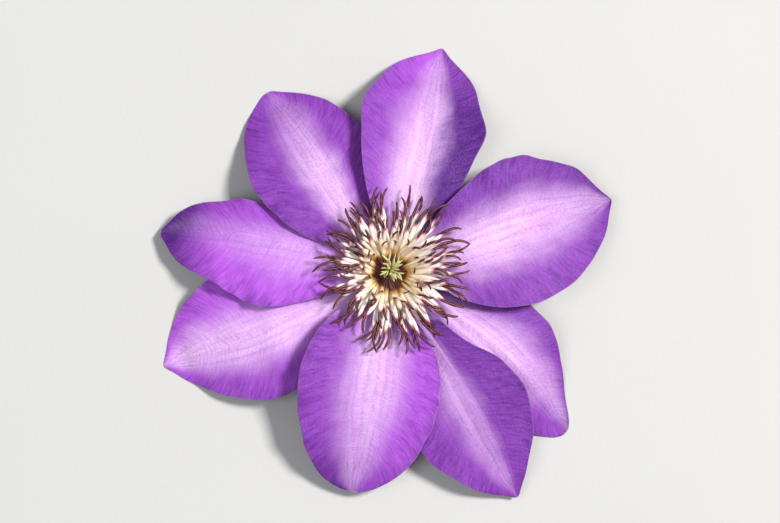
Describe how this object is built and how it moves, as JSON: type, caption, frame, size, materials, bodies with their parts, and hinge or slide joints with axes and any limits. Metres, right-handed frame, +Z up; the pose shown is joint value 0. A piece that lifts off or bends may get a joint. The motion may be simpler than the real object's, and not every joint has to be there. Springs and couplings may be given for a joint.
{
  "type": "clematis flower",
  "caption": "Large open clematis bloom, picked and laid face up: broad overlapping violet sepals round a boss of stamens and styles, on a short stalk.",
  "frame": {"origin": "on the surface that the flower lies on, under the centre of its outline", "axes": "+Z up out of the flower's face; +Y towards sepal_1, the uppermost sepal of the bloom; +X to its right"},
  "size_m": [0.154, 0.1536, 0.0211],
  "materials": {
    "sepal": "satin",
    "stamen": "matte",
    "pistil": "matte",
    "stalk": "satin"
  },
  "bodies": {
    "root": {"stalk": "stalk", "sepal_1": "sepal", "sepal_2": "sepal", "sepal_3": "sepal", "sepal_4": "sepal", "sepal_5": "sepal", "sepal_6": "sepal", "sepal_7": "sepal", "sepal_8": "sepal", "stamens": "stamen", "pistils": "pistil"}
  },
  "joints": []
}
